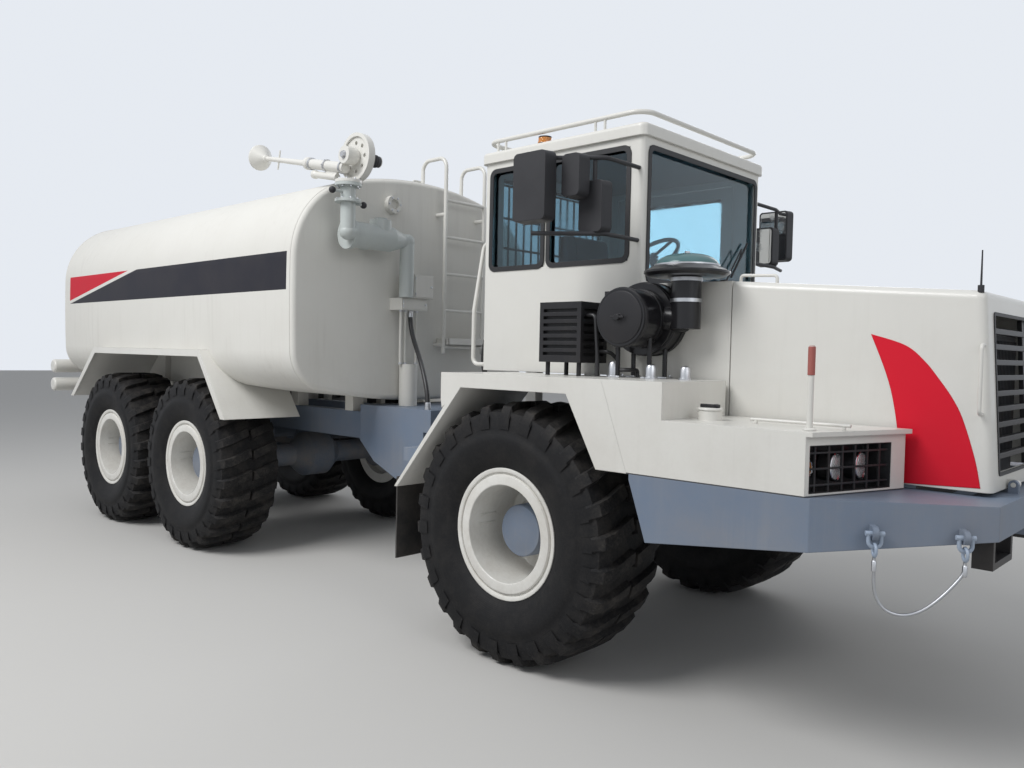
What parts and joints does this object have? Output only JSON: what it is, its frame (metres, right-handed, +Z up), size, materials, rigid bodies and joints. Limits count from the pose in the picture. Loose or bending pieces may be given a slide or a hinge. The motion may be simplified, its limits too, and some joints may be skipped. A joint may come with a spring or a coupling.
{
  "type": "articulated water tanker truck",
  "caption": "Articulated six-wheel-drive water tanker truck with a tilting hood, cab, hitch, rounded tank, ladder, spray bars and a water cannon.",
  "frame": {"origin": "on the ground at the middle of the overall length and width", "axes": "+X forward along the truck, +Y to the driver's left, +Z up"},
  "size_m": [10.1898, 2.9, 3.7047],
  "materials": {
    "body_paint": "satin off-white enamel, dusty",
    "tank_paint": "satin off-white enamel with black and red stripes",
    "frame_paint": "satin blue-grey enamel",
    "rim_paint": "satin off-white enamel",
    "black_paint": "satin black",
    "engine": "painted casting",
    "bare_steel": "hard chromed rod",
    "tyre": "worn black rubber",
    "flap_rubber": "matt sheet rubber",
    "black_plastic": "grained black plastic",
    "seat_fabric": "woven seat cloth",
    "glass": "tinted safety glass",
    "lamp": "clear, amber and red lenses",
    "rear_lamp": "red lamp lenses",
    "wire_rope": "dull galvanised wire rope",
    "hose_rubber": "smooth black hose"
  },
  "bodies": {
    "front_unit": {"front_frame": "frame_paint", "hitch_mounts": "frame_paint", "front_axle": "frame_paint", "power_train": "engine", "bumper": "frame_paint", "front_fenders": "body_paint", "side_boxes": "body_paint", "front_lamps": "lamp", "cowl": "body_paint", "cab_shell": "body_paint", "cab_roof": "body_paint", "cab_glass": "glass", "seat_base": "black_plastic", "seat_cushion": "seat_fabric", "dashboard": "black_plastic", "air_cleaner": "black_paint", "oil_cooler": "black_paint", "mirrors": "black_plastic", "hand_rails": "body_paint", "mudflaps": "flap_rubber", "tow_gear": "black_paint", "shackles": "bare_steel", "sling": "wire_rope", "hose_front": "hose_rubber"},
    "hood": {"hood_shell": "body_paint", "grille": "black_paint"},
    "cab_door": {"door_panel": "body_paint", "door_glass": "glass"},
    "hitch": {"hitch_yoke": "frame_paint"},
    "steer_barrel_right": {"steer_barrel_right": "frame_paint"},
    "steer_barrel_left": {"steer_barrel_left": "frame_paint"},
    "steer_rod_right": {"steer_rod_right": "bare_steel"},
    "steer_rod_left": {"steer_rod_left": "bare_steel"},
    "rear_unit": {"rear_frame": "frame_paint", "frame_nose": "frame_paint", "tank": "tank_paint", "rear_fenders": "body_paint", "rear_axles": "frame_paint", "walking_beams": "frame_paint", "ladder": "body_paint", "control_cabinet": "body_paint", "cannon_riser": "body_paint", "spray_bars": "body_paint", "rear_lamps": "rear_lamp", "hose_rear": "hose_rubber"},
    "manhole_lid": {"manhole_lid": "tank_paint"},
    "cannon_swivel": {"cannon_swivel": "body_paint"},
    "cannon_barrel": {"cannon_barrel": "body_paint"},
    "wheel_front_right": {"tyre_front_right": "tyre", "rim_front_right": "rim_paint"},
    "wheel_front_left": {"tyre_front_left": "tyre", "rim_front_left": "rim_paint"},
    "wheel_mid_right": {"tyre_mid_right": "tyre", "rim_mid_right": "rim_paint"},
    "wheel_mid_left": {"tyre_mid_left": "tyre", "rim_mid_left": "rim_paint"},
    "wheel_rear_right": {"tyre_rear_right": "tyre", "rim_rear_right": "rim_paint"},
    "wheel_rear_left": {"tyre_rear_left": "tyre", "rim_rear_left": "rim_paint"}
  },
  "joints": [
    {"name": "roll_front_right", "type": "hinge", "parent": "front_unit", "child": "wheel_front_right", "pos_m": [2.525, -1.14, 0.795], "axis": [0, 1, 0], "continuous": true},
    {"name": "roll_front_left", "type": "hinge", "parent": "front_unit", "child": "wheel_front_left", "pos_m": [2.525, 1.14, 0.795], "axis": [0, 1, 0], "continuous": true},
    {"name": "roll_mid_right", "type": "hinge", "parent": "rear_unit", "child": "wheel_mid_right", "pos_m": [-1.585, -1.14, 0.795], "axis": [0, 1, 0], "continuous": true},
    {"name": "roll_mid_left", "type": "hinge", "parent": "rear_unit", "child": "wheel_mid_left", "pos_m": [-1.585, 1.14, 0.795], "axis": [0, 1, 0], "continuous": true},
    {"name": "roll_rear_right", "type": "hinge", "parent": "rear_unit", "child": "wheel_rear_right", "pos_m": [-3.305, -1.14, 0.795], "axis": [0, 1, 0], "continuous": true},
    {"name": "roll_rear_left", "type": "hinge", "parent": "rear_unit", "child": "wheel_rear_left", "pos_m": [-3.305, 1.14, 0.795], "axis": [0, 1, 0], "continuous": true},
    {"name": "steer", "type": "hinge", "parent": "front_unit", "child": "hitch", "pos_m": [1.175, 0, 1.08], "axis": [0, 0, 1], "range_deg": [-45, 45]},
    {"name": "frame_roll", "type": "hinge", "parent": "hitch", "child": "rear_unit", "pos_m": [0.575, 0, 1.08], "axis": [1, 0, 0], "range_deg": [-12, 12]},
    {"name": "hood_tilt", "type": "hinge", "parent": "front_unit", "child": "hood", "pos_m": [5.015, 0, 1.31], "axis": [0, 1, 0], "range_deg": [0, 55]},
    {"name": "door_swing", "type": "hinge", "parent": "front_unit", "child": "cab_door", "pos_m": [1.788, 0.768, 2.5], "axis": [0, 0, 1], "range_deg": [0, 85]},
    {"name": "lid_open", "type": "hinge", "parent": "rear_unit", "child": "manhole_lid", "pos_m": [-0.86, 0.33, 3.4703], "axis": [0, -1, 0], "range_deg": [0, 100]},
    {"name": "cannon_turn", "type": "hinge", "parent": "rear_unit", "child": "cannon_swivel", "pos_m": [0.425, -1.04, 3.2], "axis": [0, 0, 1], "range_deg": [-10, 110]},
    {"name": "cannon_lift", "type": "hinge", "parent": "cannon_swivel", "child": "cannon_barrel", "pos_m": [0.425, -1.04, 3.42], "axis": [0, 1, 0], "range_deg": [-3, 60]},
    {"name": "cylinder_right_swing", "type": "hinge", "parent": "front_unit", "child": "steer_barrel_right", "pos_m": [2.025, -0.5, 1.08], "axis": [0, 0, 1], "range_deg": [-8, 8]},
    {"name": "cylinder_right_stroke", "type": "slide", "parent": "steer_barrel_right", "child": "steer_rod_right", "axis": [-0.9919, 0.1274, 0], "range_m": [-0.29, 0.29]},
    {"name": "cylinder_left_swing", "type": "hinge", "parent": "front_unit", "child": "steer_barrel_left", "pos_m": [2.025, 0.5, 1.08], "axis": [0, 0, 1], "range_deg": [-8, 8]},
    {"name": "cylinder_left_stroke", "type": "slide", "parent": "steer_barrel_left", "child": "steer_rod_left", "axis": [-0.9919, -0.1274, 0], "range_m": [-0.29, 0.29]}
  ],
  "couplings": [
    {"joint": "cylinder_right_swing", "follows": "steer", "ratio": 0.1377},
    {"joint": "cylinder_right_stroke", "follows": "steer", "m_per_rad": -0.3637},
    {"joint": "cylinder_left_swing", "follows": "steer", "ratio": 0.1377},
    {"joint": "cylinder_left_stroke", "follows": "steer", "m_per_rad": 0.3637}
  ]
}
